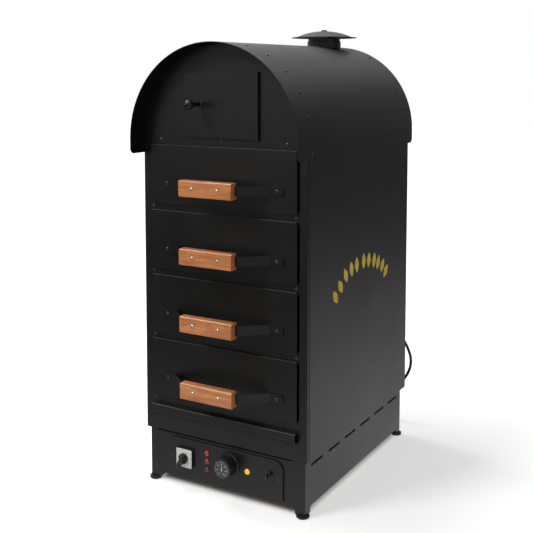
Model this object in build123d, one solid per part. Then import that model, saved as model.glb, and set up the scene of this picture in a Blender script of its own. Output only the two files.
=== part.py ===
from build123d import *
import math
import os

os.makedirs("parts", exist_ok=True)

# Baked potato oven, in millimetres.  While it is drawn, x runs across the oven, y runs back from the
# front corners of the side panels and z is up from the floor; write() then centres it front to back.

# Casing
body_width = 450.0
body_depth = 580.0
panel_sheet = 1.2
bend_radius = 2.0
panel_lip = 20.0  # inward flanges of the side panels
sheet_gap = 0.2  # between separate sheets of the casing

# Plinth and feet
foot_height = 6.0
foot_diameter = 31.0
foot_inset = 17.5  # from the casing's sides to the middle of a foot
plinth_height = 127.0
plinth_sheet = 1.5
plinth_inset = 8.5  # from the casing's sides
plinth_front = -3.0
plinth_back_inset = 14.0
plinth_flange = 22.0
leg_width = 26.0
leg_height = 15.0  # the legs reach this far below the aprons
leg_curve = 8.0
slot_count = 6
slot_length = 60.0
slot_width = 6.0
slot_margin = 29.5  # from the ends of the plinth to the end slots
slot_drop = 17.0  # from the top of the plinth to the middle of a slot

# Drawers
drawer_count = 4
drawer_gap = 16.0  # between neighbouring fronts
drawer_lift = 89.0  # from the top of the plinth to the lowest drawer front
front_margin = 25.0  # from the casing's sides to a drawer front
front_height = 142.0
front_sheet = 1.5
front_depth = 5.7  # folded edge of a drawer front
front_clearance = 0.3  # drawer fronts and door shut against the frame
tray_inset = 16.0  # from the sides of a front to its tray
tray_short = 68.0  # a tray is this much shorter than the casing
tray_drop = 14.0  # from the top of a front to the rim of its tray
tray_sheet = 1.0
tray_lift = 12.0  # from the bottom of the front to the bottom of its tray
vent_rows = 9
vent_length = 130.0
vent_width = 10.0
vent_spacing = 44.0

# Face frame
frame_depth = 9.0
frame_sheet = 1.2
stile_gap = 4.0  # open joint beside a drawer front
rail_lap = 7.0  # each rail reaches this far behind a front
frame_inset = 1.0  # from the casing's sides
ledge_height = 24.0
ledge_depth = 13.0
ledge_drop = 22.0  # from the lowest front to the top of the ledge
seam = 1.3  # between the fascia and the plinth
joint_width = 3.5  # open joint along the top of the plinth's front
joint_drop = 3.8  # from the top of the plinth to the middle of the joint
joint_left = 29.0  # from the casing's sides to the ends of the joint
joint_right = 42.0

# Runners and liner
liner_sheet = 0.9
liner_margin = 21.0  # from the liner to the outside of the casing
liner_back_margin = 34.0
liner_drop = 44.0  # from the lowest tray to the floor of the liner
liner_lip = 15.0
runner_sheet = 1.2
runner_width = 12.0
runner_play = 0.3

# Handles
bar_height = 22.0
bar_thickness = 3.0
tab_inner = 130.0
tab_outer = 168.0
bar_reach = 52.0  # from the drawer front to the front of the bar
bar_half = 75.0
tab_drop = 92.0  # from the top of a front to the tab screws
tab_screw = 151.0
grip_length = 142.0
grip_height = 38.0
grip_depth = 24.0
grip_slot = 8.0
grip_edge = 4.0
grip_screw = 34.6

# Canopy, gables and the compartment door
canopy_sheet = 1.5
canopy_overhang = 59.5
canopy_back_overhang = 25.0
canopy_skirt = 36.0
canopy_corner = 13.0
canopy_play = 0.1
spring_rise = 12.5  # from the foot of the gable to the springing of the arch
gable_gap = 2.0  # from the top drawer front to the gable
gable_flange = 20.0
door_width = 202.0
door_height = 149.5
door_rise = 19.0  # from the foot of the gable to the door
door_depth = 6.7
door_lap = 6.0
hinge_inset = 2.6
hinge_pin = 2.4
hinge_length = 6.0
knob_diameter = 24.0
knob_reach = 44.0  # from the door to the middle of the knob
knob_x = -56.0
knob_rise = 78.0  # from the bottom of the door

# Flue
flue_diameter = 92.0
flue_neck = 88.0
flue_sheet = 1.2
flue_back = 66.0  # from the back of the casing to the middle of the flue
flue_rise = 14.0  # from the ridge of the canopy to the shoulder of the pipe
neck_rise = 8.0
cap_diameter = 180.0
cap_brim = 11.0
cap_gap = 2.0
cap_dome = 19.0
cap_sheet = 1.5
cap_boss = 16.0
cap_boss_height = 3.0
strap_width = 18.0
strap_count = 3
strap_drop = 26.0  # the straps reach this far below the rim of the cap

# Control panel
control_margin = 64.0  # from the casing's sides to the control panel
control_low = 23.0  # from the foot of the plinth
control_height = 92.0
control_corner = 22.0
control_depth = 4.0
control_sheet = 1.5
window_margin = 14.0
control_row = 73.0  # controls, up from the foot of the plinth
switch_inset = 52.0  # from the end of the control panel
switch_row = 70.5
plate_size = 45.0
plate_depth = 9.0
lever_diameter = 26.0
lever_depth = 12.0
lever_length = 22.0
lever_width = 9.0
lever_angle = 240.0  # the way the lever points at rest, from +x
lamp_diameter = 12.0
lamp_x = -47.0
lamp_pitch = 20.0
lamp_depth = 4.0
lamp_body = 24.0
amber_x = 66.0
amber_diameter = 13.0
dial_x = 17.0
dial_row = 81.0
knob_skirt = 54.0
knob_depth = 33.0
knob_flutes = 16
flute_diameter = 6.0
dial_diameter = 42.0
dial_depth = 1.8
shaft_diameter = 6.0
shaft_play = 0.08
toggle_inset = 35.0  # from the end of the control panel
toggle_row = 81.5
toggle_nut = 17.0
toggle_bush = 11.5
toggle_reach = 5.0
toggle_ball = 8.0
toggle_tilt = 17.0
toggle_length = 19.0
control_play = 0.1

# Heating and wiring
element_diameter = 8.0
element_length = 440.0
element_spread = 240.0
element_bend = 30.0
capillary_diameter = 2.4
capillary_y = 24.0
capillary_hole = 8.0
cable_hole = 20.0
thermostat_width = 46.0
thermostat_height = 40.0
thermostat_depth = 34.0
toggle_body_width = 15.0
toggle_body_height = 26.0
toggle_body_depth = 20.0
shaft_depth = 12.0
terminal_inset = 95.0  # from the casing's side
bulb_diameter = 6.4
bulb_length = 80.0
pan_upstand = 24.0
jacket_play = 0.4
gland_inset = 35.0  # from the casing's side
gland_height = 255.0
gland_hole = 12.0
gland_nut = 4.0
gland_reach = 32.0
cord_diameter = 8.0
coil_turn = 88.0
coil_thickness = 26.0
coil_height = 17.0
coil_side = 160.0  # from the gland to the middle of the coil
coil_back = 52.0  # from the back of the casing
plug_side = 74.0  # from the middle of the coil to the plug
plug_back = 48.0

# Fasteners
screw_head = 8.0
screw_rise = 2.0
screw_shank = 4.0
screw_length = 6.0
screw_fit = 0.1
canopy_screw_step = 15.0
canopy_screw_rows = 5

# What follows from the sizes above
half_width = body_width / 2
front_width = body_width - 2 * front_margin
drawer_pitch = front_height + drawer_gap
tray_height = front_height - tray_lift - tray_drop
tray_width = front_width - 2 * tray_inset
tray_depth = body_depth - tray_short
control_half = half_width - control_margin
switch_x = switch_inset - control_half
toggle_x = control_half - toggle_inset
terminal_x = half_width - terminal_inset
gland_x = half_width - gland_inset
body_bottom = foot_height + plinth_height
drawer_bottoms = [body_bottom + drawer_lift + i * drawer_pitch for i in reversed(range(drawer_count))]
front_back = -frame_depth - front_clearance
front_face = front_back - front_depth
face_top = drawer_bottoms[0] + front_height + gable_gap
opening_half = front_width / 2 + stile_gap
liner_half = half_width - liner_margin
liner_back = body_depth - liner_back_margin
liner_bottom = drawer_bottoms[-1] + tray_lift - liner_drop
liner_top = drawer_bottoms[0] + front_height - rail_lap
liner_front = panel_sheet
frame_half = half_width - frame_inset
ledge_top = drawer_bottoms[-1] - ledge_drop
spring_line = face_top + spring_rise
canopy_inner = half_width + canopy_play
canopy_radius = canopy_inner + canopy_sheet
canopy_back = body_depth + canopy_back_overhang
ridge = spring_line + canopy_radius
gable_radius = half_width - sheet_gap
rear_plane = body_depth - panel_sheet
deck_top = face_top + 2 * panel_sheet
flue_y = body_depth - flue_back
flue_top = ridge + flue_rise + neck_rise
cap_rim = flue_top + cap_gap
plinth_half = half_width - plinth_inset
plinth_back = body_depth - plinth_back_inset
bar_front = front_face - bar_reach
grip_front = bar_front + grip_slot - grip_depth
grip_screw_rise = 3.0
front_reach = grip_front - grip_screw_rise
panel_face = plinth_front - control_depth
door_front = front_back - door_depth
door_bottom = face_top + door_rise
door_top = door_bottom + door_height
control_bottom = foot_height + control_low
control_middle = foot_height + control_row
switch_z = foot_height + switch_row
dial_z = foot_height + dial_row
toggle_z = foot_height + toggle_row
toggle_y = panel_face - toggle_reach + toggle_ball / 2
capillary_x = dial_x
cable_y = rear_plane - 60
rim_tops = [z + tray_lift + tray_height for z in drawer_bottoms]
element_heights = [liner_bottom + 18] + [z + tray_lift - 14 for z in drawer_bottoms[:-1:2]]
element_ends = (-element_spread / 2, element_spread / 2)
hinge_x = door_width / 2 - hinge_inset
hinge_y = door_front + hinge_inset
knob_z = door_bottom + knob_rise
centring = Pos(0, -(front_reach + canopy_back) / 2, 0)


def write(name, *solids):
    shape = solids[0] if len(solids) == 1 else Compound(children=list(solids))
    export_step(centring * shape, f"parts/{name}.step")


def block(x0, x1, y0, y1, z0, z1):
    middle = Pos((x0 + x1) / 2, (y0 + y1) / 2, (z0 + z1) / 2)
    return middle * Box(x1 - x0, y1 - y0, z1 - z0)


def rod(diameter, start, end):
    # A round bar from one point to the other, which differ along one axis.
    path = Vector(*end) - Vector(*start)
    return Plane(origin=start, z_dir=path) * Cylinder(diameter / 2, path.length, align=(
        Align.CENTER, Align.CENTER, Align.MIN))


def standing(outline, y0, y1):
    # An outline drawn in x and z, filling from y0 back to y1.
    return Pos(0, y1, 0) * Rot(90, 0, 0) * extrude(outline, y1 - y0)


def crosswise(outline, x0, x1):
    # An outline drawn in y and z, filling from x0 to x1.
    return Pos(x0, 0, 0) * Plane.YZ.location * extrude(outline, x1 - x0)


def folded(points, sheet, radius=bend_radius):
    # Section of a folded sheet that lies to the left of its path.
    path = FilletPolyline(*points, radius=radius)
    return make_face(offset(path, amount=sheet, side=Side.LEFT, closed=True).edges())


def turned(*points):
    # Revolves a half outline, given as distances from the axis and heights, about z.
    return revolve(Plane.XZ * make_face(Polyline(*points, close=True)), Axis.Z)


def arch(radius, low):
    feet = Polyline((-radius, spring_line), (-radius, low), (radius, low), (radius, spring_line))
    crown = ThreePointArc((radius, spring_line), (0, spring_line + radius), (-radius, spring_line))
    return make_face(feet + crown)


def dome_arc(radius, low, high):
    # The section of a shallow dome, from its rim to its crown on the axis.
    bow = (radius ** 2 + (high - low) ** 2) / (2 * (high - low))
    lean = math.asin(radius / bow) / 2
    return ThreePointArc((radius, low), (bow * math.sin(lean), high - bow + bow * math.cos(lean)), (0, high))


def screw(place, head=screw_head, rise=screw_rise, length=screw_length):
    # A domed screw whose head sits at the place's origin and rises along its z.
    edge = Polyline((0, rise), (0, -length), (screw_shank / 2, -length), (screw_shank / 2, 0),
                    (head / 2, 0), (head / 2, rise * 0.2))
    return place * revolve(Plane.XZ * make_face(edge + dome_arc(head / 2, rise * 0.2, rise)), Axis.Z)


def screw_hole(place, length=screw_length):
    return place * Pos(0, 0, -length / 2) * Cylinder(screw_shank / 2 + screw_fit, length * 2)


def facing_front(x, y, z):
    return Pos(x, y, z) * Rot(90, 0, 0)


def facing_back(x, y, z):
    return Pos(x, y, z) * Rot(-90, 0, 0)


def facing_side(x, y, z):
    return Pos(x, y, z) * Rot(0, math.copysign(90, x), 0)


# Where the casing's screws sit.
gable_screw_x = half_width - 53
rail_middles = [bottom - (drawer_pitch - front_height) / 2 for bottom in drawer_bottoms]
frame_screws = [facing_front(side * (front_width / 2 - 4), -frame_depth, z)
                for z in rail_middles for side in (-1, 1)]
gable_screws = [facing_front(x, -frame_depth, face_top + 10.5)
                for x in (-gable_screw_x, 0, gable_screw_x)]
control_screws = [facing_front(side * (control_half - 12), panel_face, control_bottom + 48)
                  for side in (-1, 1)]
plinth_screws = [facing_front(side * (plinth_half - 17.5), plinth_front, foot_height + 31)
                 for side in (-1, 1)]
rear_screws = [facing_back(side * (half_width - 10), body_depth, z)
               for z in (body_bottom + 30, (body_bottom + face_top) / 2, face_top - 30)
               for side in (-1, 1)]
canopy_angles = [side * canopy_screw_step * (i + 1) for i in range(canopy_screw_rows) for side in (-1, 1)]
canopy_screws = [Pos(0, y, spring_line) * Rot(0, angle, 0) * Pos(0, 0, canopy_radius)
                 for y in (5, body_depth - 10) for angle in canopy_angles]
skirt_screws = [facing_side(side * canopy_radius, y, spring_line - canopy_skirt + 15.5)
                for y in (6, body_depth / 2, body_depth - 10) for side in (-1, 1)]
casing_screws = (frame_screws + gable_screws + control_screws + plinth_screws + rear_screws
                 + canopy_screws + skirt_screws)


def drilled(shape):
    box = shape.bounding_box()
    near = [place for place in casing_screws if holds(box, place.position)]
    return shape - [screw_hole(place) for place in near] if near else shape


def holds(box, point):
    reach = screw_length
    return all(low - reach <= value <= high + reach for low, value, high in zip(box.min, point, box.max))


def side_panel():
    path = [(half_width - panel_lip, 0), (half_width, 0), (half_width, rear_plane),
            (half_width - panel_lip, rear_plane)]
    high = spring_line - bend_radius
    sheet = Pos(0, 0, body_bottom) * extrude(folded(path, panel_sheet), high - body_bottom)
    inner = half_width - bend_radius
    for y0, y1 in ((0, bend_radius), (rear_plane - bend_radius, rear_plane)):
        sheet -= block(inner - panel_lip, inner, y0, y1, face_top - sheet_gap, high)
    return sheet


def rear_panel():
    half = half_width - 2 * sheet_gap
    plate = block(-half, half, rear_plane, body_depth, body_bottom + sheet_gap, face_top - sheet_gap)
    return plate - rod(gland_hole, (gland_x, rear_plane - 1, gland_height),
                       (gland_x, body_depth + 1, gland_height))


def face_frame():
    high = face_top - sheet_gap
    frame = block(-frame_half, frame_half, -frame_depth, 0, body_bottom, high)
    frame = fillet(frame.edges().filter_by(Axis.Z).group_by(Axis.Y)[0], bend_radius)
    inside = block(-frame_half + frame_sheet, frame_half - frame_sheet, frame_sheet - frame_depth, 0,
                   body_bottom + frame_sheet, high - frame_sheet)
    openings = [block(-opening_half, opening_half, -frame_depth, 0, z + rail_lap,
                      z + front_height - rail_lap) for z in drawer_bottoms]
    openings.append(block(-front_width / 2, front_width / 2, -frame_depth, 0, body_bottom,
                          ledge_top - ledge_height))
    for hole in openings:
        box = hole.bounding_box()
        inside -= block(box.min.X - frame_sheet, box.max.X + frame_sheet, -frame_depth, 0,
                        box.min.Z - frame_sheet, box.max.Z + frame_sheet)
    frame -= inside
    for hole in openings:
        frame -= hole
    return frame


def lower_fascia():
    high = ledge_top - ledge_height - sheet_gap
    low = body_bottom + seam
    path = [(0, high), (-frame_depth, high), (-frame_depth, low), (0, low)]
    plate = folded(path, frame_sheet)
    half = front_width / 2 - sheet_gap
    return crosswise(plate, -half, half)


def crumb_ledge():
    low = ledge_top - ledge_height
    path = [(-frame_depth, ledge_top), (-frame_depth - ledge_depth, ledge_top),
            (-frame_depth - ledge_depth, low + 6), (-frame_depth - 3, low), (-frame_depth, low)]
    ledge = crosswise(folded(path, frame_sheet), -front_width / 2, front_width / 2)
    back = crosswise(Pos(-frame_depth - frame_sheet / 2, ledge_top - frame_sheet - 5)
                     * Rectangle(frame_sheet, 10), -front_width / 2, front_width / 2)
    return ledge + back


def top_deck():
    inner = half_width - panel_sheet - sheet_gap
    low = face_top + panel_sheet
    path = [(-inner, low + 8), (-inner, low), (inner, low), (inner, low + 8)]
    deck = standing(folded(path, panel_sheet), frame_sheet - frame_depth, rear_plane)
    for side in (-1, 1):
        edge = sorted((side * inner, side * (inner - bend_radius)))
        deck -= block(*edge, -frame_depth, bend_radius, low, low + 8)
        deck -= block(*edge, rear_plane - bend_radius, rear_plane, low, low + 8)
    return deck - rod(flue_diameter + 0.6, (0, flue_y, low - 1), (0, flue_y, deck_top + 1))


def gable(face, back):
    # One arched end: a plate on the face side with a flange turned towards the back side.
    low = face_top
    y0, y1 = sorted((face, face + math.copysign(gable_flange, back)))
    ring = standing(arch(gable_radius, low) - arch(gable_radius - panel_sheet, low - 1), y0, y1)
    ring -= block(-half_width, half_width, y0, y1, low, spring_line)
    y0, y1 = sorted((face, face + math.copysign(panel_sheet, back)))
    plate = standing(arch(gable_radius, low), y0, y1)
    inner = half_width - bend_radius - sheet_gap
    y0, y1 = sorted((face, face + math.copysign(gable_flange, back)))
    foot = block(-inner, inner, y0, y1, low, low + panel_sheet)
    return plate + ring + foot


def front_gable():
    half = door_width / 2 - door_lap
    opening = block(-half, half, -frame_depth - 1, 0, door_bottom + door_lap, door_top - door_lap)
    return gable(-frame_depth, 1) - opening


def canopy():
    low = spring_line - canopy_skirt
    shell = standing(arch(canopy_radius, low) - arch(canopy_inner, low - 1), -canopy_overhang, canopy_back)
    corners = shell.edges().filter_by(Axis.X).group_by(Axis.Z)[0]
    shell = fillet(corners, canopy_corner)
    return shell - rod(flue_diameter + 0.6, (0, flue_y, spring_line), (0, flue_y, ridge + 1))


def flue_pipe():
    outer, inner = flue_diameter / 2, flue_diameter / 2 - flue_sheet
    neck, bore = flue_neck / 2, flue_neck / 2 - flue_sheet
    shoulder = flue_top - neck_rise
    pipe = turned((outer, liner_top), (outer, shoulder), (neck, shoulder + 1), (neck, flue_top),
                  (bore, flue_top), (bore, shoulder - 2), (inner, shoulder - 4), (inner, liner_top))
    collar = turned((outer - 0.5, deck_top), (outer + 12, deck_top), (outer + 12, deck_top + panel_sheet),
                    (outer - 0.5, deck_top + panel_sheet))
    return Pos(0, flue_y, 0) * (pipe + collar)


def flue_cap():
    rim, thick = cap_diameter / 2, cap_sheet
    top, under = cap_rim + cap_dome, cap_rim + cap_dome - thick
    bowl = rim - cap_brim
    section = dome_arc(bowl, cap_rim + thick, top) + dome_arc(bowl, cap_rim, under)
    section += Polyline((0, top), (0, under))
    section += Polyline((bowl, cap_rim), (rim, cap_rim), (rim, cap_rim + thick), (bowl, cap_rim + thick))
    shell = revolve(Plane.XZ * make_face(section), Axis.Z)
    boss = turned((0, under + 0.5), (cap_boss / 2, under + 0.5), (cap_boss / 2, top + cap_boss_height - 1),
                  (cap_boss / 2 - 1, top + cap_boss_height), (0, top + cap_boss_height))
    reach = flue_neck / 2 - flue_sheet - 0.1
    foot = cap_rim - strap_drop
    strap = block(reach - 6, reach, -strap_width / 2, strap_width / 2, foot, cap_rim + 0.7 * cap_dome)
    hug = Cylinder(reach, 6 * strap_width) - Cylinder(reach - thick, 6 * strap_width)
    strap = strap & (Pos(0, 0, foot) * hug)
    straps = [Rot(0, 0, 90 + 360 / strap_count * i) * strap for i in range(strap_count)]
    return Pos(0, flue_y, 0) * (shell + boss + straps)


def joint_slot():
    low, high = joint_left - half_width, half_width - joint_right
    return Pos((low + high) / 2, body_bottom - joint_drop) * SlotOverall(high - low, joint_width)


def plinth():
    half, top = plinth_half, body_bottom
    outer = block(-half, half, plinth_front, plinth_back, foot_height, top)
    outer = fillet(outer.edges().filter_by(Axis.Z), bend_radius)
    inner = block(-half + plinth_sheet, half - plinth_sheet, plinth_front + plinth_sheet,
                  plinth_back - plinth_sheet, foot_height, top - plinth_sheet)
    mouth = block(-half + plinth_flange, half - plinth_flange, plinth_front + plinth_flange,
                  plinth_back - plinth_flange, foot_height, top)
    shell = outer - inner - mouth
    middle = (plinth_front + plinth_back) / 2
    apron = leg_height + leg_curve
    across = 2 * half - 2 * leg_width
    along = plinth_back - plinth_front - 2 * leg_width
    for width, deep in ((across, 3 * body_depth), (3 * body_width, along)):
        gap = Pos(0, middle, foot_height + leg_height - apron / 2) * Box(width, deep, apron)
        along_axis = Axis.Y if deep > width else Axis.X
        gap = fillet(gap.edges().filter_by(along_axis).group_by(Axis.Z)[-1], leg_curve)
        shell -= gap
    slot = SlotOverall(slot_length, slot_width)
    first = plinth_front + slot_margin + slot_length / 2
    slot_pitch = 2 * (middle - first) / (slot_count - 1)
    for i in range(slot_count):
        cut = Pos(first + i * slot_pitch, body_bottom - slot_drop) * slot
        shell -= crosswise(cut, -half - 1, half + 1)
    shell -= standing(joint_slot(), plinth_front - 1, plinth_front + plinth_sheet + 1)
    window = control_half - window_margin
    shell -= block(-window, window, plinth_front - 1, plinth_front + plinth_sheet + 1,
                   control_bottom + window_margin, control_bottom + control_height - window_margin)
    size = leg_width - plinth_sheet
    for x in (-half + leg_width / 2, half - leg_width / 2):
        for y in (plinth_front + leg_width / 2, plinth_back - leg_width / 2):
            shell += block(x - size / 2, x + size / 2, y - size / 2, y + size / 2, foot_height,
                           foot_height + plinth_sheet)
    return shell


def feet():
    radius, bevel = foot_diameter / 2, 2.0
    foot = turned((0, 0), (radius - bevel, 0), (radius, bevel), (radius, foot_height), (0, foot_height))
    front = plinth_front + 7
    back = plinth_back - 7
    return [Pos(side * (half_width - foot_inset), y, 0) * foot for y in (front, back) for side in (-1, 1)]


def base_pan():
    inner = half_width - panel_sheet - sheet_gap
    low, high = body_bottom, body_bottom + pan_upstand
    path = [(-inner, high), (-inner, low), (inner, low), (inner, high)]
    pan = standing(folded(path, panel_sheet), bend_radius, rear_plane - bend_radius)
    reach = half_width - panel_lip - sheet_gap
    front = block(-reach, reach, 0, bend_radius, low, low + panel_sheet)
    back = block(-reach, reach, rear_plane - bend_radius, rear_plane, low, low + panel_sheet)
    pan += front + back
    pan -= rod(capillary_hole, (capillary_x, capillary_y, low - 1), (capillary_x, capillary_y, low + 5))
    return pan - rod(cable_hole, (0, cable_y, low - 1), (0, cable_y, low + 5))


def liner_shell(play, back):
    # The liner's outer box, grown by the play.
    half = liner_half + liner_sheet + play
    return block(-half, half, liner_front - 1, back, liner_bottom - liner_sheet - play,
                 liner_top + liner_sheet + play)


def oven_liner():
    half, sheet = liner_half, liner_sheet
    outer = block(-half - sheet, half + sheet, liner_front, liner_back + sheet, liner_bottom - sheet,
                  liner_top + sheet)
    lip = block(-half - liner_lip, half + liner_lip, liner_front, liner_front + sheet,
                liner_bottom - sheet, liner_top + sheet)
    shell = outer + lip - block(-half, half, 0, liner_back, liner_bottom, liner_top)
    shell -= rod(flue_diameter + 0.4, (0, flue_y, liner_top - 1), (0, flue_y, liner_top + 2))
    shell -= rod(capillary_hole, (capillary_x, capillary_y, liner_bottom - 2),
                 (capillary_x, capillary_y, liner_bottom + 1))
    for z in element_heights:
        for x in element_ends:
            shell -= rod(element_diameter + 0.2, (x, liner_back - 1, z), (x, liner_back + 2, z))
    return shell


def insulation():
    inner = half_width - panel_sheet - jacket_play
    jacket = block(-inner, inner, liner_front + liner_sheet + jacket_play,
                   rear_plane - panel_sheet - jacket_play, body_bottom + pan_upstand + jacket_play,
                   face_top + panel_sheet - jacket_play)
    jacket -= block(-inner, inner, 0, gable_flange, face_top - jacket_play, deck_top)
    jacket -= block(-inner, inner, rear_plane - gable_flange, body_depth, face_top - jacket_play, deck_top)
    jacket -= liner_shell(jacket_play, liner_back + liner_sheet + jacket_play)
    jacket -= rod(flue_diameter + 2, (0, flue_y, liner_top), (0, flue_y, deck_top))
    jacket -= rod(capillary_hole, (capillary_x, capillary_y, body_bottom),
                  (capillary_x, capillary_y, liner_bottom))
    for z in element_heights:
        for x in element_ends:
            jacket -= rod(element_diameter + 6, (x, liner_back, z), (x, rear_plane, z))
    jacket -= rod(26, (gland_x, rear_plane - 30, gland_height), (gland_x, rear_plane, gland_height))
    return jacket


def heating_element(height):
    # A sheathed hairpin lying flat, its two ends through the back of the liner.
    back = liner_back + 14
    front = back - element_length
    half = element_spread / 2
    path = FilletPolyline((-half, back, height), (-half, front, height), (half, front, height),
                          (half, back, height), radius=element_bend)
    section = Plane(origin=path @ 0, z_dir=path % 0) * Circle(element_diameter / 2)
    return sweep(section, path)


def element_rest(height):
    # A strip across the liner that carries one hairpin.
    top = height - element_diameter / 2
    y = liner_back - element_length * 0.6
    half = liner_half - sheet_gap
    low = liner_bottom if height == element_heights[0] else top - 10
    path = [(half, low), (half, top), (-half, top), (-half, low)]
    return standing(folded(path, runner_sheet), y, y + 14)


def runner(side, rim_top):
    # A channel on the liner's wall that takes the rim of a tray.
    low = rim_top - tray_sheet - runner_play - runner_sheet
    high = rim_top + runner_play + runner_sheet
    wall = liner_half
    path = [(wall - runner_width, low), (wall, low), (wall, high), (wall - runner_width, high)]
    channel = standing(folded(path, runner_sheet, runner_sheet + 0.1), liner_front + 1, liner_back - 1)
    return channel if side > 0 else mirror(channel, Plane.YZ)


def drawer_front(bottom):
    half, top = front_width / 2, bottom + front_height
    pan = block(-half, half, front_face, front_back, bottom, top)
    pan = fillet(pan.edges().filter_by(Axis.Z).group_by(Axis.Y)[0], bend_radius)
    pan = fillet(pan.edges().filter_by(Axis.X).group_by(Axis.Y)[0], bend_radius / 2)
    inner = block(-half + front_sheet, half - front_sheet, front_face + front_sheet, front_back,
                  bottom + front_sheet, top - front_sheet)
    pan -= inner
    return pan - [screw_hole(place) for place in tab_screws(bottom)]


def tray(bottom):
    half, low, high = tray_width / 2, bottom + tray_lift, bottom + tray_lift + tray_height
    y0 = front_face + front_sheet
    y1 = y0 + tray_depth
    box = block(-half, half, y0, y1, low, high)
    box = fillet(box.edges().filter_by(Axis.Y).group_by(Axis.Z)[0], 3 * tray_sheet)
    hollow = block(-half + tray_sheet, half - tray_sheet, y0 + tray_sheet, y1 - tray_sheet,
                   low + tray_sheet, high)
    box -= fillet(hollow.edges().filter_by(Axis.Y).group_by(Axis.Z)[0], 2 * tray_sheet)
    for side in (-1, 1):
        edge = sorted((side * (half - tray_sheet), side * (liner_half - runner_sheet - runner_play)))
        box += block(*edge, liner_front + 4, y1, high - tray_sheet, high)
    slot = SlotOverall(vent_length, vent_width)
    middle = (y0 + y1) / 2
    for i in range(vent_rows):
        y = middle + vent_spacing * (i - (vent_rows - 1) / 2)
        for x in (-vent_length * 0.62, vent_length * 0.62):
            box -= Pos(x, y, low - 1) * extrude(slot, tray_sheet + 2)
    return box - [screw_hole(place) for place in tab_screws(bottom)]


def tab_screws(bottom):
    z = bottom + front_height - tab_drop
    return [facing_front(side * tab_screw, front_face - bar_thickness, z) for side in (-1, 1)]


def handle_bar(bottom):
    # A flat bar bent forward from its two tabs to run through the grip.
    z = bottom + front_height - tab_drop
    path = [(tab_outer, front_face), (tab_inner, front_face), (bar_half, bar_front + bar_thickness),
            (-bar_half, bar_front + bar_thickness), (-tab_inner, front_face), (-tab_outer, front_face)]
    outline = folded(path, bar_thickness, 2 * bar_thickness)
    bar = Pos(0, 0, z - bar_height / 2) * extrude(outline, bar_height)
    ends = bar.edges().filter_by(Axis.Y)
    bar = fillet(ends, bar_height / 2 - 0.5)
    bar -= [screw_hole(place) for place in tab_screws(bottom)]
    return bar - [rod(screw_shank + 2 * screw_fit, (x, bar_front - 1, z), (x, bar_front + 5, z))
                  for x in (-grip_screw, grip_screw)]


def grip(bottom):
    z = bottom + front_height - tab_drop
    half = grip_length / 2
    wood = block(-half, half, grip_front, grip_front + grip_depth, z - grip_height / 2, z + grip_height / 2)
    wood = fillet(wood.edges().filter_by(Axis.X), grip_edge)
    wood = fillet(wood.edges().filter_by(Axis.X, reverse=True), 1.0)
    slot = bar_height / 2 + sheet_gap
    wood -= block(-half, half, bar_front, grip_front + grip_depth, z - slot, z + slot)
    return wood - [rod(screw_shank + 2 * screw_fit, (x, grip_front - 1, z), (x, bar_front + 1, z))
                   for x in (-grip_screw, grip_screw)]


def drawer_screws(bottom):
    z = bottom + front_height - tab_drop
    reach = bar_front + bar_thickness - grip_front
    long_screws = [screw(facing_front(side * grip_screw, grip_front, z), rise=grip_screw_rise, length=reach)
                   for side in (-1, 1)]
    tab_length = bar_thickness + front_sheet + tray_sheet + 1
    return long_screws + [screw(place, length=tab_length) for place in tab_screws(bottom)]


def door_panel():
    half = door_width / 2
    pan = block(-half, half, door_front, front_back, door_bottom, door_top)
    pan = fillet(pan.edges().filter_by(Axis.Z).group_by(Axis.Y)[0], bend_radius / 2)
    pan -= block(-half + panel_sheet, half - panel_sheet, door_front + panel_sheet, front_back,
                 door_bottom + panel_sheet, door_top - panel_sheet)
    pan -= block(half - 2 * hinge_inset, half, front_back - 1.1, front_back, door_bottom, door_top)
    hole = hinge_pin / 2 + shaft_play
    for z in (door_bottom, door_top):
        pan -= Pos(hinge_x, hinge_y, z) * Cylinder(hole, 3 * panel_sheet)
    return pan - rod(screw_shank + 2 * screw_fit, (knob_x, door_front - 1, knob_z),
                     (knob_x, front_back, knob_z))


def door_knob():
    ball, stem = knob_diameter / 2, knob_diameter / 4
    neck = math.sqrt(ball ** 2 - stem ** 2)
    outline = Polyline((0, knob_reach + ball), (0, -panel_sheet), (screw_shank / 2, -panel_sheet),
                       (screw_shank / 2, 0), (stem + 2, 0), (stem + 2, 2), (stem, 4),
                       (stem, knob_reach - neck))
    crown = ThreePointArc((stem, knob_reach - neck), (ball, knob_reach), (0, knob_reach + ball))
    return facing_front(knob_x, door_front, knob_z) * revolve(Plane.XZ * make_face(outline + crown), Axis.Z)


def hinge_lugs():
    lugs = []
    play = front_clearance
    for z, way in ((door_bottom, -1), (door_top, 1)):
        face = z + way * play
        low, high = sorted((face, face + way * 2.5))
        plate = block(hinge_x - 4, hinge_x + 4, hinge_y - 4, -frame_depth, low, high)
        plate = fillet(plate.edges().filter_by(Axis.Z).group_by(Axis.Y)[0], 3.9)
        pin = rod(hinge_pin, (hinge_x, hinge_y, face - way * hinge_length), (hinge_x, hinge_y, face + way))
        lugs.append(plate + pin)
    return lugs


def door_catch():
    # A spring tongue on the gable beside the free edge of the door.
    x = -door_width / 2 - front_clearance
    path = [(x, door_front + 2), (x, -frame_depth), (x - 12, -frame_depth)]
    tongue = folded(path, panel_sheet, panel_sheet + 0.1)
    return Pos(0, 0, door_top - 22) * extrude(tongue, 14)


def panel_outline(margin):
    width, height = 2 * (control_half - margin), control_height - 2 * margin
    outline = Pos(0, control_bottom + control_height / 2) * Rectangle(width, height)
    return fillet(outline.vertices().group_by(Axis.Y)[-1], control_corner - margin)


def through_panel(diameter, x, z):
    return rod(diameter, (x, panel_face - 1, z), (x, plinth_front, z))


lamp_places = [(lamp_x, control_middle + i * lamp_pitch) for i in (1, 0, -1)]


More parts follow.
